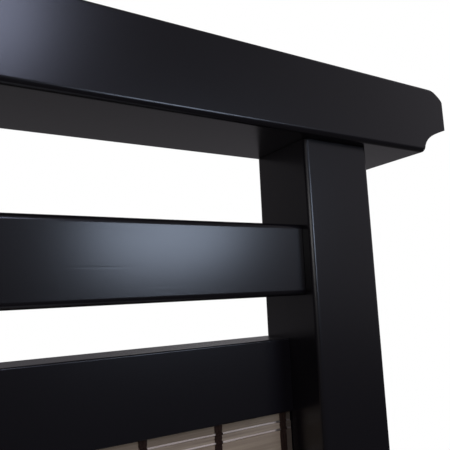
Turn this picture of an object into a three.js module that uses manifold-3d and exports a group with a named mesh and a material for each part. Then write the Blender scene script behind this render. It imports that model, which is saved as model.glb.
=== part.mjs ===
// A free-standing fireplace screen: a black wooden frame of two posts on trestle feet, under a heavy
// overhanging cap, with two open rails and a framed panel of woven wood slats.
// Millimetres, +Z up, -Y is the front. The origin is on the floor under the middle of the screen.
import * as THREE from "three";
import { mergeVertices } from "three/addons/utils/BufferGeometryUtils.js";
import Module from "manifold-3d";

// ---------- driving dimensions ----------
const post = { width: 60, depth: 60, arris: 3.3 };
const cap = {
  height: 55.4,
  frontOverhang: 9.9,
  noseReach: 83.5, // from a post's outer side to the tip of the cap
  topArris: 2.5,
  frontArris: 4, // along the lower front edge
  backArris: 1.2, // along the lower back edge
  cornerRun: 17,
  cornerDrop: 10.4,
};
const foot = {
  length: 280,
  width: 66,
  height: 54,
  arris: 3,
  cornerRun: 6,
  cornerDrop: 5,
};
const pad = { radius: 20, thickness: 4, inset: 32, rim: 0.8 };

// The sawn end of the cap and of the feet: a rounded corner, an upright nose, and a cove under it.
// A pull is where a curve's handle lies, as a share of the way along its run and its drop.
const sawnEnd = {
  cornerPull: 0.28,
  lipHeight: 21.2, // from the cove's side of the piece up to the lip under the nose
  coveReach: 27.5, // from the nose in to the foot of the cove
  coveFoot: 0.8,
  lipPull: { run: 0.46, drop: 0.24 },
  footPull: { run: 0.97, drop: 0.39 },
  easeReach: 1.2, // the convex rounding that runs the cove into the flat
  easePull: 0.25,
};

const gapUnderCap = 60;
const openRail = { height: 49.6, thickness: 28.8, setback: 9.1, arris: 4 };
const gapUnderRail = 30;
const panelRail = { height: 50.4, thickness: 28.8, arris: 1.2 }; // flush with the posts' back
const lowerRailClearance = 10; // from the feet up to the lower rail

const tenon = { length: 18, thickness: 12, shoulder: 8 };
const fit = 0.3; // glue gap round a tenon, a dowel or a panel stop
const mortiseSlack = 1; // spare depth behind a tenon or a dowel's end

// The woven panel: wide slats with a reed, a narrow slat and a reed between them.
const weave = {
  repeats: 15,
  wideSlat: 16,
  narrowSlat: 3.3,
  reed: 1.5,
  slatThickness: 1.6,
  slatEdge: 0.4, // radius of a wide slat's edges
  gap: 0.3, // between neighbouring slats
  cordPitch: 51.5,
  cordSpaces: 13,
  edgeCord: 8, // from a post's inner side to the middle of the last cord
  cordProud: 0.6, // room for the warp cords on each face
  sideGap: 0.4, // between the slats' ends and a post
  reveal: 5.1, // how much of the first and the last wide slat shows
};
// The rebate that the woven panel sits in: its front wall, and its room past the slats.
const rebate = { lip: 3, spareHeight: 0.5, spareFront: 0.1, spareBack: 0.2 };
const stop = { width: 10, depth: 12, edge: 1 }; // the strips that hold the panel from behind

const dowel = { radius: 5, length: 50, capSpacing: 28, footSpacing: 36, chamfer: 1 };
const bolt = {
  radius: 4,
  headRadius: 9,
  headHeight: 3,
  chamfer: 1,
  counterbore: { radius: 11, depth: 12 },
  hexSize: 5,
  hexDepth: 2,
  pastNut: 6,
};
const barrelNut = {
  radius: 6.5,
  length: 24,
  chamfer: 0.5,
  height: 45, // above the post's lower end
  slotWidth: 1.6,
  slotDepth: 1.5,
};

// An arc in an outline gets twice its steps in facets.
const arcSteps = 4;
const stripArcSteps = 1; // on the small edges of slats and stops
const curveSteps = 8;
const roundSides = 20;
const reedSides = 8;
const overrun = 1; // how far a cutting tool runs past the face that it enters

// ---------- sizes that follow ----------
const innerWidth = 2 * weave.edgeCord + weave.cordSpaces * weave.cordPitch;
const postMiddle = innerWidth / 2 + post.width / 2;
const capHalfLength = innerWidth / 2 + post.width + cap.noseReach;
const bundleHeight = weave.narrowSlat + 2 * (weave.reed + weave.gap);
const wovenHeight =
  (weave.repeats + 1) * weave.wideSlat + weave.repeats * (bundleHeight + 2 * weave.gap);
const tuck = weave.wideSlat - weave.reveal; // how far a wide slat goes into its rebate
const panelHeight = wovenHeight - 2 * tuck; // what shows between the panel rails
const rebateHeight = tuck + rebate.spareHeight;

const postBottom = pad.thickness + foot.height;
const lowerRailBottom = postBottom + lowerRailClearance;
const panelRailBottom = lowerRailBottom + openRail.height + gapUnderRail;
const panelBottom = panelRailBottom + panelRail.height;
const panelTop = panelBottom + panelHeight;
const upperRailBottom = panelTop + panelRail.height + gapUnderRail;
const postTop = upperRailBottom + openRail.height + gapUnderCap;

const postFront = -post.depth / 2;
const postBack = post.depth / 2;
const openRailFront = postFront + openRail.setback;
const openRailMiddle = openRailFront + openRail.thickness / 2;
const panelRailFront = postBack - panelRail.thickness;
const panelRailMiddle = panelRailFront + panelRail.thickness / 2;
const slatFront = panelRailFront + rebate.lip + rebate.spareFront + weave.cordProud;
const slatMiddle = slatFront + weave.slatThickness / 2;
const stopFront = slatFront + weave.slatThickness + weave.cordProud + rebate.spareBack;
const slatLength = innerWidth - 2 * weave.sideGap;

// ---------- materials ----------
const finish = (color, roughness, metalness = 0) =>
  new THREE.MeshStandardMaterial({ color, roughness, metalness });
const blackLacquer = finish(0x17161a, 0.4);
const slatWood = finish(0x6f655c, 0.7);
const reedWood = finish(0xa39a8c, 0.6);
const beech = finish(0xc9a77a, 0.75);
const steel = finish(0x9a9ca0, 0.35, 1);
const zinc = finish(0xb4b6ba, 0.45, 1);
const rubber = finish(0x26241f, 0.9);

// ---------- solids ----------
const wasm = await Module();
wasm.setup();

// A closed geometry as a solid that can be cut and joined.
function solidOf(geometry) {
  const bare = geometry.clone();
  bare.deleteAttribute("normal");
  bare.deleteAttribute("uv");
  const merged = mergeVertices(bare, 1e-4);
  return new wasm.Manifold(
    new wasm.Mesh({
      numProp: 3,
      vertProperties: merged.attributes.position.array,
      triVerts: new Uint32Array(merged.index.array),
    }),
  );
}

// A solid as a geometry with flat facets.
function geometryOf(solid) {
  const mesh = solid.getMesh();
  const geometry = new THREE.BufferGeometry()
    .setAttribute("position", new THREE.BufferAttribute(mesh.vertProperties, 3))
    .setIndex(new THREE.BufferAttribute(mesh.triVerts, 1))
    .toNonIndexed();
  geometry.computeVertexNormals();
  return geometry;
}

const axisX = new THREE.Vector3(1, 0, 0);
const axisY = new THREE.Vector3(0, 1, 0);
const axisZ = new THREE.Vector3(0, 0, 1);
const backwards = new THREE.Vector3(0, -1, 0);

// Which way an outline's own x and y point, and which way it is extruded.
const sections = {
  alongX: new THREE.Matrix4().makeBasis(axisY, axisZ, axisX),
  alongY: new THREE.Matrix4().makeBasis(axisX, axisZ, backwards),
  alongZ: new THREE.Matrix4(),
};

// An outline extruded by length, centred on the extrusion's own axis.
function extrusion(outline, length, section, curveSegments = arcSteps) {
  const geometry = new THREE.ExtrudeGeometry(outline, {
    depth: length,
    bevelEnabled: false,
    curveSegments,
  });
  geometry.translate(0, 0, -length / 2);
  geometry.applyMatrix4(section);
  return geometry;
}

// A rectangle about the middle. Its upper corners share a radius, and so do its lower ones unless
// the one on the +x side is given its own.
function roundedRectangle(width, height, low, high = low, lowAhead = low) {
  const x = width / 2;
  const y = height / 2;
  const quarter = Math.PI / 2;
  return new THREE.Shape()
    .moveTo(-x + low, -y)
    .lineTo(x - lowAhead, -y)
    .absarc(x - lowAhead, -y + lowAhead, lowAhead, -quarter, 0)
    .lineTo(x, y - high)
    .absarc(x - high, y - high, high, 0, quarter)
    .lineTo(-x + high, y)
    .absarc(-x + high, y - high, high, quarter, 2 * quarter)
    .lineTo(-x, -y + low)
    .absarc(-x + low, -y + low, low, 2 * quarter, 3 * quarter);
}

const box = (x, y, z) => solidOf(new THREE.BoxGeometry(x, y, z));

// A solid of revolution about +Z through pairs of radius and height, from the axis to the axis.
const turned = (profile) =>
  new THREE.LatheGeometry(
    profile.map(([radius, height]) => new THREE.Vector2(radius, height)),
    roundSides,
  ).rotateX(Math.PI / 2);

// A round bar standing on the origin along +Z, with both its ends chamfered.
const roundBar = (radius, length, chamfer) =>
  turned([
    [0, 0],
    [radius - chamfer, 0],
    [radius, chamfer],
    [radius, length - chamfer],
    [radius - chamfer, length],
    [0, length],
  ]);

// A plain bar along +Z, and the same as a tool for drilling from a point.
const plainBar = (radius, length) => turned([[0, 0], [radius, 0], [radius, length], [0, length]]);
const drill = (radius, length, x, y, z) => solidOf(plainBar(radius, length)).translate([x, y, z]);

// The side outline of a piece with both ends sawn, about its middle. The coves are cut under the
// noses, or above them where the outline is flipped.
function sawnOutline(halfLength, piece, flipped) {
  const half = piece.height / 2;
  const cornerX = halfLength - piece.cornerRun;
  const cornerY = half - piece.cornerDrop;
  const lipY = sawnEnd.lipHeight - half;
  const coveX = halfLength - sawnEnd.coveReach;
  const coveY = sawnEnd.coveFoot - half;
  const { cornerPull, lipPull, footPull, easeReach, easePull } = sawnEnd;
  const end = new THREE.Path()
    .moveTo(cornerX, half)
    .bezierCurveTo(
      cornerX + cornerPull * piece.cornerRun,
      half,
      halfLength,
      cornerY + cornerPull * piece.cornerDrop,
      halfLength,
      cornerY,
    )
    .lineTo(halfLength, lipY)
    .bezierCurveTo(
      halfLength - lipPull.run * sawnEnd.coveReach,
      lipY - lipPull.drop * (lipY - coveY),
      halfLength - footPull.run * sawnEnd.coveReach,
      lipY - footPull.drop * (lipY - coveY),
      coveX,
      coveY,
    )
    .quadraticCurveTo(coveX - easePull * easeReach, -half, coveX - easeReach, -half)
    .getPoints(curveSteps);
  const mirrored = end.map((p) => new THREE.Vector2(-p.x, p.y)).reverse();
  const points = [...end, ...mirrored];
  return new THREE.Shape(flipped ? points.map((p) => new THREE.Vector2(p.x, -p.y)) : points);
}

// ---------- joints that several pieces share ----------
const sides = { left: -1, right: 1 };
const ends = { front: -1, back: 1 };

// A rail's tenon: where its middle is in Y and Z, and its height.
const openTenon = (bottom) => ({
  y: openRailMiddle,
  z: bottom + openRail.height / 2,
  height: openRail.height - 2 * tenon.shoulder,
});

// A panel rail is rebated along one edge, so its tenon keeps to the rest of its height.
function panelTenon(solidBottom) {
  const height = panelRail.height - rebateHeight - 2 * tenon.shoulder;
  return {
    y: panelRailMiddle,
    z: solidBottom + tenon.shoulder + height / 2,
    height,
  };
}

const tenons = {
  upper: openTenon(upperRailBottom),
  lower: openTenon(lowerRailBottom),
  panelTop: panelTenon(panelTop + rebateHeight),
  panelBottom: panelTenon(panelRailBottom),
};

function tenonSolid(at, side) {
  const length = tenon.length + overrun;
  return box(length, tenon.thickness, at.height).translate([
    side * (innerWidth / 2 + tenon.length - length / 2),
    at.y,
    at.z,
  ]);
}

function mortise(at, side) {
  const depth = tenon.length + mortiseSlack;
  return box(depth + overrun, tenon.thickness + 2 * fit, at.height + 2 * fit).translate([
    side * (innerWidth / 2 + (depth - overrun) / 2),
    at.y,
    at.z,
  ]);
}

// A dowel's hole, drilled both ways from the face where two pieces meet.
function dowelHole(x, y, faceZ) {
  const depth = dowel.length / 2 + mortiseSlack;
  return drill(dowel.radius + fit / 2, 2 * depth, x, y, faceZ - depth);
}

const capDowels = (side) =>
  Object.values(ends).map((end) => [side * postMiddle, (end * dowel.capSpacing) / 2, postTop]);
const footDowels = (side) =>
  Object.values(ends).map((end) => [side * postMiddle, (end * dowel.footSpacing) / 2, postBottom]);

// ---------- pieces ----------
const screen = new THREE.Group();
screen.name = "fireplace_screen";

function add(name, geometry, material, x = 0, y = 0, z = 0) {
  const mesh = new THREE.Mesh(geometry, material);
  mesh.name = name;
  mesh.position.set(x, y, z);
  screen.add(mesh);
}

function addCap() {
  const depth = post.depth + cap.frontOverhang;
  const middle = [0, -cap.frontOverhang / 2, postTop + cap.height / 2];
  const outline = sawnOutline(capHalfLength, cap, false);
  const { frontArris, topArris, backArris } = cap;
  const section = roundedRectangle(depth, cap.height, frontArris, topArris, backArris);
  let beam = solidOf(extrusion(outline, depth, sections.alongY))
    .intersect(solidOf(extrusion(section, 2 * (capHalfLength + overrun), sections.alongX)))
    .translate(middle);
  for (const side of Object.values(sides)) {
    for (const place of capDowels(side)) beam = beam.subtract(dowelHole(...place));
  }
  add("cap", geometryOf(beam), blackLacquer);
}

function addPost(name, side) {
  const length = postTop - postBottom;
  const section = roundedRectangle(post.width, post.depth, post.arris);
  let timber = solidOf(extrusion(section, length, sections.alongZ)).translate([
    side * postMiddle,
    0,
    postBottom + length / 2,
  ]);
  for (const at of Object.values(tenons)) timber = timber.subtract(mortise(at, side));
  for (const place of [...capDowels(side), ...footDowels(side)]) {
    timber = timber.subtract(dowelHole(...place));
  }
  const boltHole = barrelNut.height + bolt.radius + bolt.pastNut + mortiseSlack;
  const nutPocket = barrelNut.length / 2 + fit;
  const nutHole = plainBar(barrelNut.radius + fit / 2, nutPocket + post.depth)
    .rotateX(-Math.PI / 2)
    .translate(side * postMiddle, -nutPocket, postBottom + barrelNut.height);
  const x = side * postMiddle;
  timber = timber
    .subtract(drill(bolt.radius + fit, boltHole + overrun, x, 0, postBottom - overrun))
    .subtract(solidOf(nutHole));
  add(name, geometryOf(timber), blackLacquer);
}

function addOpenRail(name, bottom, at) {
  const section = roundedRectangle(openRail.thickness, openRail.height, openRail.arris);
  let rail = solidOf(extrusion(section, innerWidth, sections.alongX)).translate([
    0,
    openRailMiddle,
    bottom + openRail.height / 2,
  ]);
  for (const side of Object.values(sides)) rail = rail.add(tenonSolid(at, side));
  add(name, geometryOf(rail), blackLacquer);
}

// The rebate is along the edge that faces the woven panel: the lower edge of the top rail.
function addPanelRail(name, bottom, at, rebateSide) {
  const section = roundedRectangle(panelRail.thickness, panelRail.height, panelRail.arris);
  const middleZ = bottom + panelRail.height / 2;
  const depth = panelRail.thickness - rebate.lip + overrun;
  const height = rebateHeight + overrun;
  const cutZ = middleZ + rebateSide * (panelRail.height / 2 - rebateHeight + height / 2);
  const cut = box(innerWidth + 2 * overrun, depth, height);
  let rail = solidOf(extrusion(section, innerWidth, sections.alongX))
    .translate([0, panelRailMiddle, middleZ])
    .subtract(cut.translate([0, panelRailFront + rebate.lip + depth / 2, cutZ]));
  for (const side of Object.values(sides)) rail = rail.add(tenonSolid(at, side));
  add(name, geometryOf(rail), blackLacquer);
}

function addFoot(name, side) {
  const outline = sawnOutline(foot.length / 2, foot, true);
  const section = roundedRectangle(foot.width, foot.height, foot.arris);
  const x = side * postMiddle;
  const below = pad.thickness - overrun;
  const { radius, depth } = bolt.counterbore;
  let timber = solidOf(extrusion(outline, foot.width, sections.alongX))
    .intersect(solidOf(extrusion(section, foot.length + 2 * overrun, sections.alongY)))
    .translate([x, 0, pad.thickness + foot.height / 2]);
  for (const place of footDowels(side)) timber = timber.subtract(dowelHole(...place));
  timber = timber
    .subtract(drill(bolt.radius + fit, foot.height + 2 * overrun, x, 0, below))
    .subtract(drill(radius, depth + overrun, x, 0, below));
  add(name, geometryOf(timber), blackLacquer);
}

function addPads(name, x) {
  const reach = foot.length / 2 - pad.inset;
  for (const [end, way] of Object.entries(ends)) {
    const geometry = roundBar(pad.radius, pad.thickness, pad.rim);
    add(`${name}_${end}`, geometry, rubber, x, way * reach, 0);
  }
}

function addDowels(name, places) {
  const geometry = roundBar(dowel.radius, dowel.length, dowel.chamfer);
  places.forEach(([x, y, z], i) => {
    add(`${name}_${Object.keys(ends)[i]}`, geometry.clone(), beech, x, y, z - dowel.length / 2);
  });
}

// A flat-headed bolt with a hexagon socket, up through the foot and the nut.
function addFootBolt(name, side) {
  const { radius, headRadius, headHeight, chamfer, hexSize, hexDepth } = bolt;
  const headTop = pad.thickness + bolt.counterbore.depth;
  const length = postBottom + barrelNut.height + radius + bolt.pastNut - headTop;
  const shaft = turned([
    [0, -headHeight],
    [headRadius - chamfer, -headHeight],
    [headRadius, chamfer - headHeight],
    [headRadius, 0],
    [radius, 0],
    [radius, length - chamfer],
    [radius - chamfer, length],
    [0, length],
  ]);
  const acrossCorners = hexSize / Math.sqrt(3);
  const socket = new THREE.CylinderGeometry(acrossCorners, acrossCorners, 2 * hexDepth, 6)
    .rotateX(Math.PI / 2)
    .translate(0, 0, -headHeight);
  const solid = solidOf(shaft).subtract(solidOf(socket));
  add(name, geometryOf(solid), steel, side * postMiddle, 0, headTop);
}

function addBarrelNut(name, side) {
  const half = barrelNut.length / 2;
  const { radius, length, chamfer, slotDepth, slotWidth } = barrelNut;
  const slot = box(2 * (radius + overrun), 2 * slotDepth, slotWidth);
  const body = roundBar(radius, length, chamfer).rotateX(-Math.PI / 2);
  const solid = solidOf(body.translate(0, -half, 0))
    .subtract(drill(bolt.radius + fit / 2, 4 * radius, 0, 0, -2 * radius))
    .subtract(slot.translate([0, half, 0]));
  add(name, geometryOf(solid), zinc, side * postMiddle, 0, postBottom + barrelNut.height);
}

// The top and bottom stops lie in the rebates, and the side stops stand between them.
function addStops() {
  const middleY = stopFront + stop.depth / 2;
  const long = roundedRectangle(stop.depth, rebateHeight - fit, stop.edge);
  const across = extrusion(long, innerWidth - 2 * fit, sections.alongX, stripArcSteps);
  const reach = (rebateHeight - fit) / 2;
  add("panel_stop_top", across, blackLacquer, 0, middleY, panelTop + reach);
  add("panel_stop_bottom", across.clone(), blackLacquer, 0, middleY, panelBottom - reach);
  const upright = roundedRectangle(stop.width, stop.depth, stop.edge);
  for (const [name, side] of Object.entries(sides)) {
    const x = side * (innerWidth / 2 - fit - stop.width / 2);
    const height = panelHeight - 2 * fit;
    const strip = extrusion(upright, height, sections.alongZ, stripArcSteps);
    add(`panel_stop_${name}`, strip, blackLacquer, x, middleY, (panelBottom + panelTop) / 2);
  }
}

// One reed, one narrow slat and one reed, joined by the thin stretch between them.
function bundleSolid() {
  const reedOffset = (weave.narrowSlat + weave.reed) / 2 + weave.gap;
  const radius = weave.reed / 2;
  const reed = new THREE.CylinderGeometry(radius, radius, slatLength, reedSides)
    .rotateZ(Math.PI / 2);
  return box(slatLength, weave.slatThickness / 2, 2 * reedOffset)
    .add(box(slatLength, weave.slatThickness, weave.narrowSlat))
    .add(solidOf(reed).translate([0, 0, reedOffset]))
    .add(solidOf(reed).translate([0, 0, -reedOffset]));
}

function addWeave() {
  const pitch = weave.wideSlat + bundleHeight + 2 * weave.gap;
  const firstMiddle = panelTop + tuck - weave.wideSlat / 2;
  const wide = extrusion(
    roundedRectangle(weave.slatThickness, weave.wideSlat, weave.slatEdge),
    slatLength,
    sections.alongX,
    stripArcSteps,
  );
  const bundle = geometryOf(bundleSolid());
  const numbered = (name, i) => `${name}_${String(i + 1).padStart(2, "0")}`;
  for (let i = 0; i <= weave.repeats; i += 1) {
    const z = firstMiddle - i * pitch;
    add(numbered("wide_slat", i), wide.clone(), slatWood, 0, slatMiddle, z);
    if (i === weave.repeats) break;
    add(numbered("reed_bundle", i), bundle.clone(), reedWood, 0, slatMiddle, z - pitch / 2);
  }
}

addCap();
addOpenRail("upper_rail", upperRailBottom, tenons.upper);
addOpenRail("lower_rail", lowerRailBottom, tenons.lower);
addPanelRail("panel_top_rail", panelTop, tenons.panelTop, -1);
addPanelRail("panel_bottom_rail", panelRailBottom, tenons.panelBottom, 1);
for (const [name, side] of Object.entries(sides)) {
  addPost(`${name}_post`, side);
  addFoot(`${name}_foot`, side);
  addPads(`${name}_foot_pad`, side * postMiddle);
  addDowels(`${name}_cap_dowel`, capDowels(side));
  addDowels(`${name}_foot_dowel`, footDowels(side));
  addFootBolt(`${name}_foot_bolt`, side);
  addBarrelNut(`${name}_barrel_nut`, side);
}
addStops();
addWeave();

export default screen;
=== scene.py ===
"""The looks of a black fireplace screen with a panel of woven wood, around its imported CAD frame."""
import math
from collections import namedtuple

import bmesh
import bpy
import numpy as np
from mathutils import Euler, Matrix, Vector


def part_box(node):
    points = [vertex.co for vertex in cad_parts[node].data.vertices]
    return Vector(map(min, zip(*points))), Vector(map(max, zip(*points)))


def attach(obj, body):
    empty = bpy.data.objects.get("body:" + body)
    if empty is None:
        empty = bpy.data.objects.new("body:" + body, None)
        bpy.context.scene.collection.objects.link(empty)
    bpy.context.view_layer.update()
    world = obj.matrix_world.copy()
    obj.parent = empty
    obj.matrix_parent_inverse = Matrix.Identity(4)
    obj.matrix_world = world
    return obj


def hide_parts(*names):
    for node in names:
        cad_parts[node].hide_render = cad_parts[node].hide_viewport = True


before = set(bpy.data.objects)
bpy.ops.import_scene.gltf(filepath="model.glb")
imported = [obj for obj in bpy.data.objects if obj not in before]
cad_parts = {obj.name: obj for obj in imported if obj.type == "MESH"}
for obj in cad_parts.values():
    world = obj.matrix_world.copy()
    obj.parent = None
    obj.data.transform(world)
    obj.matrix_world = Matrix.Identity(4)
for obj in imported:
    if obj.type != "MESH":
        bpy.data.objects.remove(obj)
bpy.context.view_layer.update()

MM = 0.001
SEED = 7
random = np.random.default_rng(SEED)


# ---------- camera ----------

SENSOR_WIDTH = 36  # mm
LENS = 38.41  # mm
CAMERA_PLACE = Vector((-0.21394, -0.25293, -0.10473))  # from the right post's inner front top corner
CAMERA_TURN = (97.888, 2.420, -29.738)  # degrees about x, y and z


def make_camera():
    """A phone held just inside the right post and below the cap, looking up and to the right."""
    low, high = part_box("right_post")
    inner_front_top = Vector((low.x, low.y, high.z))
    data = bpy.data.cameras.new("camera")
    data.sensor_width = SENSOR_WIDTH
    data.lens = LENS
    data.clip_start = 0.01
    camera = bpy.data.objects.new("camera", data)
    camera.location = inner_front_top + CAMERA_PLACE
    camera.rotation_euler = Euler([math.radians(a) for a in CAMERA_TURN])
    bpy.context.scene.collection.objects.link(camera)
    bpy.context.scene.camera = camera


# ---------- node helpers ----------

class Nodes:
    """Short names for building a material's node tree."""

    def __init__(self, name):
        self.material = bpy.data.materials.new(name)
        self.material.use_nodes = True
        self.tree = self.material.node_tree
        self.shader = self.tree.nodes["Principled BSDF"]
        self.place = self.tree.nodes.new("ShaderNodeTexCoord").outputs["Object"]

    def add(self, kind, **settings):
        node = self.tree.nodes.new("ShaderNode" + kind)
        for key, value in settings.items():
            setattr(node, key, value)
        return node

    def link(self, source, target):
        self.tree.links.new(source, target)

    def put(self, socket, value):
        if isinstance(value, bpy.types.NodeSocket):
            self.link(value, socket)
        else:
            socket.default_value = value

    def stretched(self, scale):
        """The place on the object, stretched: a small number draws the pattern out along that axis."""
        mapping = self.add("Mapping")
        self.link(self.place, mapping.inputs["Vector"])
        mapping.inputs["Scale"].default_value = scale
        return mapping.outputs["Vector"]

    def noise(self, vector, scale, detail=3.0, roughness=0.55, distortion=0.0):
        node = self.add("TexNoise")
        self.link(vector, node.inputs["Vector"])
        node.inputs["Scale"].default_value = scale
        node.inputs["Detail"].default_value = detail
        node.inputs["Roughness"].default_value = roughness
        node.inputs["Distortion"].default_value = distortion
        return node.outputs["Fac"]

    def ramp(self, value, stops):
        """stops: (place, grey or colour) from dark to light."""
        node = self.add("ValToRGB")
        self.link(value, node.inputs["Fac"])
        elements = node.color_ramp.elements
        while len(elements) < len(stops):
            elements.new(0.5)
        for element, (place, colour) in zip(elements, stops):
            element.position = place
            element.color = (*colour, 1) if isinstance(colour, tuple) else (colour, colour, colour, 1)
        return node.outputs["Color"]

    def range(self, value, low, high):
        """A 0 to 1 pattern as a number from low to high."""
        node = self.add("MapRange")
        self.put(node.inputs["Value"], value)
        node.inputs["To Min"].default_value = low
        node.inputs["To Max"].default_value = high
        return node.outputs["Result"]

    def math(self, operation, a, b):
        node = self.add("Math", operation=operation)
        self.put(node.inputs[0], a)
        self.put(node.inputs[1], b)
        return node.outputs["Value"]

    def mix(self, factor, a, b, blend="MIX"):
        node = self.add("Mix", data_type="RGBA", blend_type=blend)
        for name, value in (("Factor_Float", factor), ("A_Color", a), ("B_Color", b)):
            socket = next(s for s in node.inputs if s.identifier == name)
            self.put(socket, (*value, 1) if isinstance(value, tuple) else value)
        return next(s for s in node.outputs if s.identifier == "Result_Color")

    def bump(self, height, distance, strength=1.0, under=None):
        node = self.add("Bump")
        self.link(height, node.inputs["Height"])
        node.inputs["Distance"].default_value = distance
        node.inputs["Strength"].default_value = strength
        if under is not None:
            self.link(under, node.inputs["Normal"])
        return node.outputs["Normal"]

    def tone(self):
        """A number from 0 to 1 that each slat or cord carries."""
        return self.add("Attribute", attribute_name="tone").outputs["Fac"]

    def finish(self, colour, roughness, normal, **constants):
        self.put(self.shader.inputs["Base Color"], colour)
        self.put(self.shader.inputs["Roughness"], roughness)
        self.link(normal, self.shader.inputs["Normal"])
        for name, value in constants.items():
            self.shader.inputs[name.replace("_", " ")].default_value = value
        return self.material


def along(axis, fine, coarse):
    """Mapping scales for a grain that runs along axis."""
    return tuple(coarse if name == axis else fine for name in "xyz")


# ---------- materials ----------

BLACK = (0.0056, 0.0046, 0.0058)
DUST = (0.10, 0.10, 0.11)
SATIN = (0.21, 0.25)  # roughness, from the smoothest to the dullest spots
MATT = (0.36, 0.44)
# painted shade: the dark that the posts' shadow lays on the slat and reed ends beside them
POST_SHADE = (0.030, 0.021, 0.016)
SHADE_RAGGED = 1.6 * MM  # how far the edge of the painted post shade strays from its line
SHADE_SOFT = 1 * MM  # and how softly it starts


def lacquer(name, axis, roughness=SATIN):
    """Black satin lacquer sprayed on smooth wood: a faint orange peel over barely filled pores."""
    n = Nodes(name)
    grain = n.noise(n.stretched(along(axis, 1.0, 0.04)), 420, detail=4, roughness=0.6)
    pores = n.ramp(grain, [(0.30, 0.0), (0.42, 1.0)])
    cloud = n.noise(n.place, 7, detail=2)
    peel = n.noise(n.place, 620, detail=1.5)
    dust = n.ramp(n.noise(n.place, 1900, detail=2, roughness=0.7), [(0.70, 0.0), (0.78, 1.0)])
    worn = tuple(1.5 * c for c in BLACK)
    colour = n.mix(n.range(cloud, 0.0, 0.7), BLACK, worn)
    colour = n.mix(n.math("MULTIPLY", dust, 0.10), colour, DUST)
    rough = n.math("ADD", n.range(cloud, *roughness), n.math("MULTIPLY", dust, 0.12))
    normal = n.bump(pores, 0.02 * MM, 0.35)
    normal = n.bump(peel, 0.02 * MM, 0.45, under=normal)
    return n.finish(colour, rough, normal, IOR=1.5)


def slat_wood(name, dark, light, streak, shade_reach,
              tones=(0.60, 0.98), roughness=(0.55, 0.75), shine=0.5):
    """Stained wood cut thin: long streaks, short dark pores, and painted shade of the posts, dark for
    shade_reach from its cut ends.
    """
    n = Nodes(name)
    tone = n.tone()
    shift = n.add("CombineXYZ")
    n.link(n.math("MULTIPLY", tone, 3.7), shift.inputs["X"])
    n.link(n.math("MULTIPLY", tone, 1.9), shift.inputs["Z"])
    moved = n.add("VectorMath", operation="ADD")
    n.link(n.stretched((0.03, 1.0, 1.0)), moved.inputs[0])
    n.link(shift.outputs["Vector"], moved.inputs[1])
    place = moved.outputs["Vector"]
    streaks = n.noise(place, 260, detail=5, roughness=0.65, distortion=0.3)
    fibres = n.noise(place, 1500, detail=3, roughness=0.7)
    broad = n.noise(place, 55, detail=2)
    patches = n.noise(n.place, 16, detail=3)
    colour = n.ramp(streaks, [(0.33, dark), (0.67, light)])
    colour = n.mix(n.ramp(broad, [(0.42, 0.0), (0.75, 0.65)]), colour, streak)
    pores = n.ramp(fibres, [(0.30, 1.0), (0.42, 0.0)])
    colour = n.mix(n.math("MULTIPLY", pores, 0.55), colour, tuple(0.35 * c for c in dark))
    colour = n.mix(n.range(patches, 0.0, 0.35), colour, tuple(0.6 * c for c in light))
    shade = n.range(tone, *tones)
    bright = n.add("CombineColor")
    for channel in ("Red", "Green", "Blue"):
        n.link(shade, bright.inputs[channel])
    colour = n.mix(1.0, colour, bright.outputs["Color"], blend="MULTIPLY")
    # painted shade of the posts, darkening the slat and reed ends beside them
    colour = n.mix(n.math("MULTIPLY", post_shade_mask(n, shade_reach), 0.82), colour, POST_SHADE)
    normal = n.bump(fibres, 0.06 * MM, 0.6)
    normal = n.bump(streaks, 0.1 * MM, 0.5, under=normal)
    return n.finish(
        colour, n.range(fibres, *roughness), normal, IOR=1.45, Specular_IOR_Level=shine)


def post_shade_mask(n, reach):
    """The mask of the painted post shade: 1 on the part of a slat within reach of a post, and 0
    elsewhere, with a ragged line between.
    """
    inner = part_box("right_post")[0].x
    axes = n.add("SeparateXYZ")
    n.link(n.place, axes.inputs["Vector"])
    ragged = n.range(n.noise(n.place, 420, detail=3), -SHADE_RAGGED, SHADE_RAGGED)
    across = n.math("ADD", n.math("ABSOLUTE", axes.outputs["X"], 0.0), ragged)
    edge = n.add("MapRange")
    n.link(across, edge.inputs["Value"])
    edge.inputs["From Min"].default_value = inner - reach - SHADE_SOFT
    edge.inputs["From Max"].default_value = inner - reach + SHADE_SOFT
    return edge.outputs["Result"]


def yarn_fibre():
    """Dark brown cotton yarn: fine fibres that run along it, and dull all over."""
    n = Nodes("cord_yarn")
    fibres = n.noise(n.stretched((1.0, 1.0, 0.35)), 2600, detail=4, roughness=0.7)
    blotch = n.noise(n.place, 120, detail=2)
    colour = n.ramp(fibres, [(0.3, (0.006, 0.003, 0.002)), (0.72, (0.060, 0.030, 0.020))])
    colour = n.mix(n.range(blotch, 0.0, 0.5), colour, (0.014, 0.007, 0.005))
    normal = n.bump(fibres, 0.12 * MM, 0.8)
    return n.finish(colour, n.range(fibres, 0.75, 0.95), normal, IOR=1.4, Specular_IOR_Level=0.2)


def beech():
    """Plain beech, with its grain along z, the way the dowels stand."""
    n = Nodes("beech")
    grain = n.noise(n.stretched((1.0, 1.0, 0.08)), 700, detail=4, roughness=0.6)
    colour = n.ramp(grain, [(0.3, (0.42, 0.25, 0.12)), (0.7, (0.66, 0.46, 0.26))])
    return n.finish(colour, n.range(grain, 0.6, 0.75), n.bump(grain, 0.06 * MM, 0.6))


def zinc(name, colour):
    """Zinc-plated steel: bright, with a brushed haze and dull spots."""
    n = Nodes(name)
    haze = n.noise(n.place, 900, detail=5, roughness=0.7)
    spots = n.noise(n.place, 160, detail=2)
    tint = n.ramp(spots, [(0.3, tuple(0.75 * c for c in colour)), (0.7, colour)])
    return n.finish(tint, n.range(haze, 0.28, 0.5), n.bump(haze, 0.02 * MM, 0.5), Metallic=1.0)


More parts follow.
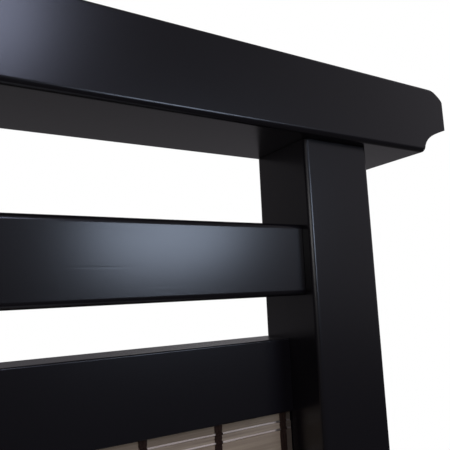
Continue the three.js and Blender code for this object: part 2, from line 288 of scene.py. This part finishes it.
def rubber():
    """Dull black rubber, a little dusty."""
    n = Nodes("pad_rubber")
    grit = n.noise(n.place, 1400, detail=3, roughness=0.6)
    smear = n.noise(n.place, 60, detail=2)
    colour = n.ramp(smear, [(0.3, (0.012, 0.011, 0.010)), (0.7, (0.028, 0.026, 0.023))])
    return n.finish(colour, n.range(grit, 0.75, 0.95), n.bump(grit, 0.08 * MM, 0.6))


# ---------- frame pieces ----------

SAME_POINT = 2e-6  # metres
FLAT = math.radians(0.6)  # two faces that turn less than this are one
EDGE = math.radians(32)  # an edge sharper than this is eased
CREASE = math.radians(38)  # an edge sharper than this stays a crease in the shading
SAWN_EASE = 0.8 * MM
PLANED_EASE = 0.35 * MM
STOP_EASE = 0.3 * MM
PAD_EASE = 0.25 * MM


def eased(node, material, ease, segments=2):
    """A CAD piece with its sharp edges eased by hand-sanding: the same shape, standing for its node."""
    mesh = bpy.data.meshes.new(node + "_eased")
    work = bmesh.new()
    work.from_mesh(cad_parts[node].data)
    bmesh.ops.remove_doubles(work, verts=work.verts, dist=SAME_POINT)
    bmesh.ops.dissolve_limit(work, angle_limit=FLAT, verts=work.verts, edges=work.edges)
    sharp = [e for e in work.edges if len(e.link_faces) == 2 and e.calc_face_angle(0) > EDGE]
    bmesh.ops.bevel(work, geom=sharp, offset=ease, segments=segments, profile=0.5,
                    affect="EDGES", clamp_overlap=True)
    bmesh.ops.dissolve_degenerate(work, edges=work.edges, dist=SAME_POINT)
    bmesh.ops.remove_doubles(work, verts=work.verts, dist=SAME_POINT)
    work.to_mesh(mesh)
    work.free()
    mesh.materials.clear()
    mesh.materials.append(material)
    mesh.polygons.foreach_set("use_smooth", [True] * len(mesh.polygons))
    mesh.set_sharp_from_angle(angle=CREASE)
    made = bpy.data.objects.new(node + "_eased", mesh)
    bpy.context.scene.collection.objects.link(made)
    weighted = made.modifiers.new("flat_faces", "WEIGHTED_NORMAL")
    weighted.keep_sharp = True
    weighted.weight = 100
    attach(made, "root")
    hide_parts(node)


def finish_node(node, material):
    """A hidden CAD piece keeps its own mesh and gets its material."""
    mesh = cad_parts[node].data
    mesh.materials.clear()
    mesh.materials.append(material)


def make_frame():
    """Everything that is lacquered, with the grain along each piece."""
    by_axis = {axis: lacquer("lacquer_" + axis, axis) for axis in "xyz"}
    eased("cap", by_axis["x"], SAWN_EASE, segments=3)
    for rail in ("upper_rail", "lower_rail", "panel_top_rail", "panel_bottom_rail"):
        eased(rail, by_axis["x"], PLANED_EASE)
    for side in ("left", "right"):
        eased(side + "_post", by_axis["z"], PLANED_EASE)
        eased(side + "_foot", by_axis["y"], SAWN_EASE, segments=3)
    strip = {axis: lacquer("stop_lacquer_" + axis, axis, roughness=MATT) for axis in "xz"}
    for edge, axis in (("top", "x"), ("bottom", "x"), ("left", "z"), ("right", "z")):
        eased("panel_stop_" + edge, strip[axis], STOP_EASE)


def make_hardware():
    """The bolts, nuts and dowels, which are hidden, and the pads under the feet."""
    wood = beech()
    bolt = zinc("bolt_zinc", (0.50, 0.51, 0.53))
    nut = zinc("nut_zinc", (0.62, 0.63, 0.64))
    pad = rubber()
    for side in ("left", "right"):
        finish_node(side + "_foot_bolt", bolt)
        finish_node(side + "_barrel_nut", nut)
        for end in ("front", "back"):
            finish_node(f"{side}_cap_dowel_{end}", wood)
            finish_node(f"{side}_foot_dowel_{end}", wood)
            eased(f"{side}_foot_pad_{end}", pad, PAD_EASE)


# ---------- loose mesh pieces ----------

def loft(rings):
    """A closed solid through rings of points, an array of stations by points by 3."""
    stations, around, _ = rings.shape
    points = rings.reshape(-1, 3)
    here = np.arange(stations * around).reshape(stations, around)
    turned = np.roll(here, -1, axis=1)
    sides = np.stack([here[:-1], turned[:-1], turned[1:], here[1:]], axis=-1).reshape(-1, 4)
    caps = [list(here[0][::-1]), list(here[-1])]
    return points, [list(q) for q in sides] + caps


def join(parts):
    """Several (points, faces) as one."""
    points, faces, start = [], [], 0
    for part_points, part_faces in parts:
        points.append(part_points)
        faces += [[start + i for i in face] for face in part_faces]
        start += len(part_points)
    return np.concatenate(points), faces


STICK_CREASE = math.radians(50)


def piece(name, part, material, nodes=(), tone=0.5):
    """A solid as a piece of the model, standing for the CAD nodes named."""
    points, faces = part
    mesh = bpy.data.meshes.new(name)
    mesh.from_pydata(points.tolist(), [], faces)
    work = bmesh.new()
    work.from_mesh(mesh)
    bmesh.ops.recalc_face_normals(work, faces=work.faces)
    work.to_mesh(mesh)
    work.free()
    mesh.materials.append(material)
    mesh.polygons.foreach_set("use_smooth", [True] * len(mesh.polygons))
    mesh.set_sharp_from_angle(angle=STICK_CREASE)
    values = mesh.attributes.new("tone", "FLOAT", "POINT")
    values.data.foreach_set("value", np.full(len(points), tone, np.float32))
    made = bpy.data.objects.new(name, mesh)
    bpy.context.scene.collection.objects.link(made)
    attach(made, "root")
    if nodes:
        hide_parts(*nodes)


def smooth_wander(x, spacing, size):
    """A smooth random line over the places x, with a new value every spacing."""
    knots = np.arange(x.min() - 2 * spacing, x.max() + 3 * spacing, spacing)
    values = random.normal(0, size, len(knots))
    at = (x - knots[0]) / spacing
    i = np.clip(at.astype(int), 0, len(knots) - 2)
    t = at - i
    t = t * t * (3 - 2 * t)
    return values[i] * (1 - t) + values[i + 1] * t


# ---------- the woven panel ----------

Stick = namedtuple("Stick", "bottom top front back")  # where a slat or reed is, for the cords

SLAT_STEP = 6 * MM
END_SPREAD = 0.9 * MM  # the most that a slat's end falls short of its cut line
CURL = 0.9 * MM  # the most that a slat's end bends forward, over its last CURL_REACH
CURL_REACH = 6 * MM
CLOSE = 0.32 * MM  # how far a slat reaches on each side to touch its neighbours
SLAT_CORNER = 0.45 * MM
NARROW_CORNER = 0.4 * MM
SLAT_WANDER = 0.10 * MM
THIN_WANDER = 0.07 * MM
EDGE_WAVE = 45 * MM  # how long the waves are in a slat's edges, in its bow and in its thickness
BOW_WAVE = 90 * MM
THICKNESS_WAVE = 30 * MM


def stick_stations(low, high):
    """Places along a slat, with its two ends cut a little unevenly."""
    left = low.x + random.uniform(0, END_SPREAD)
    right = high.x - random.uniform(0, END_SPREAD)
    count = int((right - left) / SLAT_STEP)
    ends = np.array([0.25, 0.5, 0.75]) * SLAT_STEP
    return np.sort(np.concatenate([np.linspace(left, right, count), left + ends, right - ends]))


def curl(x):
    """How far a stick's ends bend forward from its plane: each end by its own amount."""
    reach = np.minimum(x - x[0], x[-1] - x)
    bend = np.clip(1 - reach / CURL_REACH, 0, 1) ** 2
    return -bend * np.where(x < 0, random.uniform(0, CURL), random.uniform(0, CURL))


def slat(low, high, corner, wander):
    """A flat slat with softly rounded edges, a slight crown and edges that wander a little."""
    x = stick_stations(low, high)
    middle_y, middle_z = (low.y + high.y) / 2, (low.z + high.z) / 2
    half_y, half_z = (high.y - low.y) / 2, (high.z - low.z) / 2 + CLOSE
    turn = np.radians([0, 35, 65, 90])
    quarter = np.stack(
        [half_y - corner * (1 - np.sin(turn)), half_z - corner * (1 - np.cos(turn))], 1)
    crown = np.array([[half_y, 0.0]])
    side = np.concatenate([quarter, crown, quarter[::-1] * (1, -1)])
    section = np.concatenate([side, side[::-1] * (-1, 1)])
    edge = smooth_wander(x, EDGE_WAVE, wander)
    bow = smooth_wander(x, BOW_WAVE, wander)
    thick = 1 + smooth_wander(x, THICKNESS_WAVE, 0.02)
    rings = np.empty((len(x), len(section), 3))
    rings[:, :, 0] = x[:, None]
    out = (curl(x) + 0.6 * bow)[:, None]
    rings[:, :, 1] = middle_y + out + section[None, :, 0] * thick[:, None]
    rings[:, :, 2] = middle_z + section[None, :, 1] + edge[:, None]
    return loft(rings)


REED_AROUND = 10
REED_JOINTS = (70 * MM, 110 * MM)  # from one swelling to the next
JOINT_REACH = 3 * MM
REED_WAVE = 40 * MM
SWELL_WAVE = 25 * MM


def reed(low, high, wander):
    """A thin round reed with faint swellings where the leaves grew."""
    x = stick_stations(low, high)
    middle_y, middle_z = (low.y + high.y) / 2, (low.z + high.z) / 2
    radius = (high.z - low.z) / 2
    joint = random.uniform(*REED_JOINTS)
    phase = random.uniform(0, joint)
    near = np.abs((x + phase) % joint - joint / 2)
    swell = 1 + 0.10 * np.exp(-(near / JOINT_REACH) ** 2) + smooth_wander(x, SWELL_WAVE, 0.03)
    turn = np.linspace(0, 2 * math.pi, REED_AROUND, endpoint=False)
    rings = np.empty((len(x), REED_AROUND, 3))
    rings[:, :, 0] = x[:, None]
    drift_y = smooth_wander(x, REED_WAVE, wander)
    drift_z = smooth_wander(x, REED_WAVE, wander)
    thick = (radius * swell)[:, None]
    rings[:, :, 1] = middle_y + (drift_y + curl(x))[:, None] + np.sin(turn) * thick
    rings[:, :, 2] = middle_z + drift_z[:, None] + np.cos(turn) * thick
    return loft(rings)


REED = 1.5 * MM
REED_GAP = 0.3 * MM
SLAT_SHADE_REACH = 5.6 * MM  # a slat carries painted shade of the post for this far from it
REED_SHADE_REACH = 13.5 * MM  # and a reed further, past the last cord
CORDS = 14
EDGE_CORD = 7.2 * MM  # from a post to the middle of the last cord
YARN_WIDTH = 2.7 * MM
YARN_THICKNESS = 0.95 * MM
YARN_STEP = 2.4 * MM
YARN_CLOSEST = 0.08 * MM  # no two stations of a yarn are closer than this
YARN_AROUND = 9
YARN_WAVE = 9 * MM
YARN_WANDER = 0.14 * MM
YARN_TWIST = 2.6 * MM  # one turn of the strands in a yarn
STRANDS = 3
PINCH = 1.2 * MM  # how far from a crossing a yarn is narrower
SLIP = 0.34  # of its width: how far it goes sideways while it changes sides
LEAN = 0.10  # and how far it lies off its middle in between
END_FREE = 1 * MM  # a cord stops this far inside the outermost slats' edges
PRESSED_OVER = 3 * MM  # how fast a yarn flattens as it goes into a rebate
CROSSING = 0.55 * MM  # how far on each side of a crossing a yarn takes to change sides
EARLY = 0.35 * MM  # how much sooner it comes out than it goes in, so that a pair shows no slit


def yarn_stations(z_low, z_high, crossings):
    """Heights along a yarn, from the top down: even steps, and close ones at each crossing."""
    even = np.arange(z_low, z_high, YARN_STEP)
    near = CROSSING * np.array([-1.6, -0.9, -0.3, 0.3, 0.9, 1.6])
    close = (crossings[:, None] + near[None, :]).ravel()
    every = np.sort(np.concatenate([even, close[(close > z_low) & (close < z_high)]]))
    kept = every[np.concatenate([[True], np.diff(every) > YARN_CLOSEST])]
    return kept[::-1]


def yarn(z_low, z_high, x_middle, sticks, front_first, hand, pinch):
    """One flat yarn, woven down through the sticks: in front of one, behind the next.
    Where it changes sides it slips sideways past its partner, so that the pair reads as a twist."""
    crossings = np.array([(a.bottom + b.top) / 2 for a, b in zip(sticks[:-1], sticks[1:])])
    z = yarn_stations(z_low, z_high, crossings)
    which = np.sum(z[:, None] < crossings[None, :], axis=1)
    front = np.where((which + front_first) % 2 == 0, 1.0, -1.0)
    reach = np.array([0.5 * (s.back - s.front) for s in sticks])
    middle_y = 0.5 * (sticks[0].front + sticks[0].back)
    nearest = np.min(np.abs(z[:, None] - crossings[None, :]), axis=1)
    share = np.clip(0.5 + (front * nearest + EARLY) / (2 * CROSSING), 0, 1)
    side = 1 - 2 * share * share * (3 - 2 * share)
    thick = YARN_THICKNESS * (1 - 0.35 * pinch(z))
    y = middle_y + side * (reach[which] + thick / 2)
    squeeze = 1 - 0.10 * np.exp(-(nearest / PINCH) ** 2)
    partner = 1 if front_first else -1
    slip = partner * (SLIP * (1 - np.abs(side)) + LEAN * front * np.abs(side))
    x = x_middle + YARN_WIDTH * (hand * 0.5 * squeeze + slip)
    x = x + smooth_wander(z[::-1], YARN_WAVE, YARN_WANDER)[::-1]
    turn = np.linspace(0, 2 * math.pi, YARN_AROUND, endpoint=False)
    wind = z / YARN_TWIST * 2 * math.pi
    lobes = 1 + 0.10 * np.cos(STRANDS * turn[None, :] + hand * wind[:, None])
    width = YARN_WIDTH * (0.52 * squeeze + 0.02)
    rings = np.empty((len(z), YARN_AROUND, 3))
    rings[:, :, 0] = x[:, None] + np.cos(turn) * width[:, None] * lobes
    rings[:, :, 1] = y[:, None] + np.sin(turn) * (thick / 2)[:, None] * lobes
    rings[:, :, 2] = z[:, None]
    return loft(rings)


def make_weave():
    """The slats, the reeds and the cords. A bundle's node becomes a reed, a narrow slat and a reed."""
    wide_wood = slat_wood(
        "wide_slat_wood", (0.27, 0.196, 0.128), (0.55, 0.43, 0.29), (0.41, 0.285, 0.19), SLAT_SHADE_REACH)
    narrow_wood = slat_wood(
        "narrow_slat_wood", (0.29, 0.212, 0.144), (0.60, 0.47, 0.33), (0.45, 0.32, 0.215),
        SLAT_SHADE_REACH)
    reed_wood = slat_wood(
        "reed_wood", (0.74, 0.59, 0.48), (1.0, 0.88, 0.77), (0.95, 0.78, 0.65), REED_SHADE_REACH,
        tones=(0.86, 1.0), roughness=(0.5, 0.65), shine=0.3)
    wides = sorted(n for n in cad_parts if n.startswith("wide_slat"))
    bundles = sorted(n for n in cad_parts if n.startswith("reed_bundle"))
    sticks = []
    for node in wides:
        low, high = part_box(node)
        part = slat(low, high, SLAT_CORNER, SLAT_WANDER)
        piece(node + "_wood", part, wide_wood, [node], random.random())
        sticks.append(Stick(low.z, high.z, low.y, high.y))
    for node in bundles:
        low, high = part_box(node)
        rows = (
            ("upper_reed", Vector((low.x, low.y, high.z - REED)), high, reed_wood, "reed"),
            ("narrow", Vector((low.x, low.y, low.z + REED + REED_GAP)),
             Vector((high.x, high.y, high.z - REED - REED_GAP)), narrow_wood, "slat"),
            ("lower_reed", low, Vector((high.x, high.y, low.z + REED)), reed_wood, "reed"),
        )
        for name, stick_low, stick_high, wood, slot in rows:
            if name == "narrow":
                part = slat(stick_low, stick_high, NARROW_CORNER, THIN_WANDER)
            else:
                part = reed(stick_low, stick_high, THIN_WANDER)
            piece(f"{node}_{name}", part, wood, [node], random.random())
            sticks.append(Stick(stick_low.z, stick_high.z, stick_low.y, stick_high.y))
    sticks.sort(key=lambda s: -s.top)
    make_cords(sticks)


def make_cords(sticks):
    """Each warp cord is two pairs of yarns side by side.
    Of a pair, one yarn is in front where the other is behind."""
    material = yarn_fibre()
    opening_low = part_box("panel_bottom_rail")[1].z
    opening_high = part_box("panel_top_rail")[0].z
    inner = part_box("right_post")[0].x
    z_high = sticks[0].top - END_FREE
    z_low = sticks[-1].bottom + END_FREE

    def pinch(z):
        """1 inside the rails' rebates, where the yarns are pressed flat, and 0 in the open."""
        outside = np.maximum(z - opening_high, opening_low - z)
        return np.clip(0.5 + outside / PRESSED_OVER, 0, 1)

    for i, x in enumerate(np.linspace(EDGE_CORD - inner, inner - EDGE_CORD, CORDS)):
        yarns = [yarn(z_low, z_high, x, sticks, front, hand, pinch)
                 for hand in (-1, 1) for front in (0, 1)]
        piece(f"warp_cord_{i + 1:02d}", join(yarns), material, tone=random.random())


# ---------- pins ----------

PIN_RADIUS = 0.9 * MM
PIN_PROUD = 0.3 * MM
PIN_LENGTH = 4 * MM
PIN_AROUND = 14
PINS = {"top": 5, "bottom": 5, "left": 2, "right": 2}


def pin(x, back, z):
    """A round pin driven into a stop from behind, with a domed head."""
    profile = np.array([  # share of the radius, place along the pin
        (0.5, -PIN_LENGTH),
        (1.0, 0.0),
        (0.97, 0.5 * PIN_PROUD),
        (0.75, 0.85 * PIN_PROUD),
        (0.3, PIN_PROUD),
    ])
    turn = np.linspace(0, 2 * math.pi, PIN_AROUND, endpoint=False)
    rings = np.empty((len(profile), len(turn), 3))
    rings[:, :, 0] = x + PIN_RADIUS * profile[:, :1] * np.cos(turn)
    rings[:, :, 1] = back + profile[:, 1:]
    rings[:, :, 2] = z + PIN_RADIUS * profile[:, :1] * np.sin(turn)
    return loft(rings)


def make_pins():
    """Pins evenly along each stop."""
    steel = zinc("pin_steel", (0.42, 0.42, 0.44))
    for edge, count in PINS.items():
        low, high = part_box("panel_stop_" + edge)
        middle = (low + high) / 2
        for i in range(count):
            share = (i + 0.5) / count
            x, z = middle.x, middle.z
            if edge in ("top", "bottom"):
                x = low.x + share * (high.x - low.x)
            else:
                z = low.z + share * (high.z - low.z)
            piece(f"pin_{edge}_{i + 1}", pin(x, high.y, z), steel)


# ---------- stage ----------

FLOOR_RADIUS = 0.75
FLOOR_BACK = 0.35  # how far behind the screen its middle is


def make_floor():
    """A round, pale painted floor."""
    mesh = bpy.data.meshes.new("floor")
    work = bmesh.new()
    bmesh.ops.create_circle(work, cap_ends=True, segments=96, radius=FLOOR_RADIUS)
    work.to_mesh(mesh)
    work.free()
    floor = bpy.data.objects.new("floor", mesh)
    floor.location.y = FLOOR_BACK
    bpy.context.scene.collection.objects.link(floor)
    n = Nodes("floor_paint")
    cloud = n.noise(n.place, 3, detail=3)
    colour = n.ramp(cloud, [(0.3, (0.74, 0.74, 0.73)), (0.7, (0.80, 0.80, 0.79))])
    mesh.materials.append(n.finish(colour, 0.7, n.bump(cloud, 0.2 * MM, 0.1)))


def make_world():
    """White where the camera looks past the object. Else a dim room: dark under the horizon in front,
    paler behind the screen, and with a pale wall on the right."""
    world = bpy.data.worlds.new("room")
    world.use_nodes = True
    bpy.context.scene.world = world
    tree = world.node_tree
    room = tree.nodes["Background"]

    def add(kind, **inputs):
        node = tree.nodes.new("ShaderNode" + kind)
        for name, value in inputs.items():
            node.inputs[name.replace("_", " ")].default_value = value
        return node

    def calculate(operation, a, b):
        node = add("Math")
        node.operation = operation
        tree.links.new(a, node.inputs[0])
        if isinstance(b, float):
            node.inputs[1].default_value = b
        else:
            tree.links.new(b, node.inputs[1])
        return node.outputs["Value"]

    def rise(value, start, end, to):
        """0 until start, then up to the number to at end."""
        node = add("MapRange", From_Min=start, From_Max=end, To_Max=to)
        tree.links.new(value, node.inputs["Value"])
        return node.outputs["Result"]

    place = tree.nodes.new("ShaderNodeTexCoord")
    axes = add("SeparateXYZ")
    tree.links.new(place.outputs["Generated"], axes.inputs["Vector"])
    x, y, z = axes.outputs
    above = calculate("ADD", rise(z, -0.12, 0.15, 0.10), 0.055)
    wall = calculate("MULTIPLY", rise(x, 0.45, 0.95, 0.26), rise(z, -0.2, 0.0, 1.0))
    behind = calculate("MULTIPLY", rise(y, 0.2, 0.7, 0.12), rise(z, 0.05, -0.15, 1.0))
    strength = calculate("ADD", calculate("ADD", above, wall), behind)
    room.inputs["Color"].default_value = (0.97, 0.92, 1.0, 1)
    tree.links.new(strength, room.inputs["Strength"])
    seen = tree.nodes.new("ShaderNodeBackground")
    seen.inputs["Color"].default_value = (1, 1, 1, 1)
    path = tree.nodes.new("ShaderNodeLightPath")
    mixed = tree.nodes.new("ShaderNodeMixShader")
    tree.links.new(path.outputs["Is Camera Ray"], mixed.inputs["Fac"])
    tree.links.new(room.outputs["Background"], mixed.inputs[1])
    tree.links.new(seen.outputs["Background"], mixed.inputs[2])
    tree.links.new(mixed.outputs["Shader"], tree.nodes["World Output"].inputs["Surface"])


def area_light(name, place, target, width, height, watts, colour=(1, 1, 1)):
    """An oval light at place that faces target."""
    data = bpy.data.lights.new(name, "AREA")
    data.shape = "ELLIPSE"
    data.size = width
    data.size_y = height
    data.energy = watts
    data.color = colour
    light = bpy.data.objects.new(name, data)
    light.location = place
    light.rotation_euler = (Vector(target) - Vector(place)).to_track_quat("-Z", "Y").to_euler()
    bpy.context.scene.collection.objects.link(light)


def make_lights():
    """A window and a skylight in front, a strip at the left, and two soft lights for the other sides."""
    daylight = (0.66, 0.78, 1.0)
    dusk = (0.66, 0.72, 1.0)
    post_top = (0.34, -0.03, 0.68)
    area_light("window", (1.02, -1.87, 0.93), (0.24, -0.02, 0.66), 0.74, 0.40, 7.2, daylight)
    area_light("skylight", (0.12, -1.77, 1.80), (0.10, -0.04, 0.77), 0.60, 0.60, 7.4, dusk)
    area_light("strip", (-0.95, -1.55, 0.90), post_top, 1.60, 0.30, 4.2)
    area_light("overhead", (-0.5, 0.6, 2.6), (0, 0, 0.3), 1.6, 1.6, 12.0)
    area_light("rear", (1.4, 2.2, 1.9), (0, 0, 0.4), 1.0, 1.0, 4.0)


# ---------- the scene ----------

scene = bpy.context.scene
scene.view_settings.view_transform = "Standard"
make_camera()
make_floor()
make_world()
make_lights()
make_frame()
make_hardware()
make_weave()
make_pins()
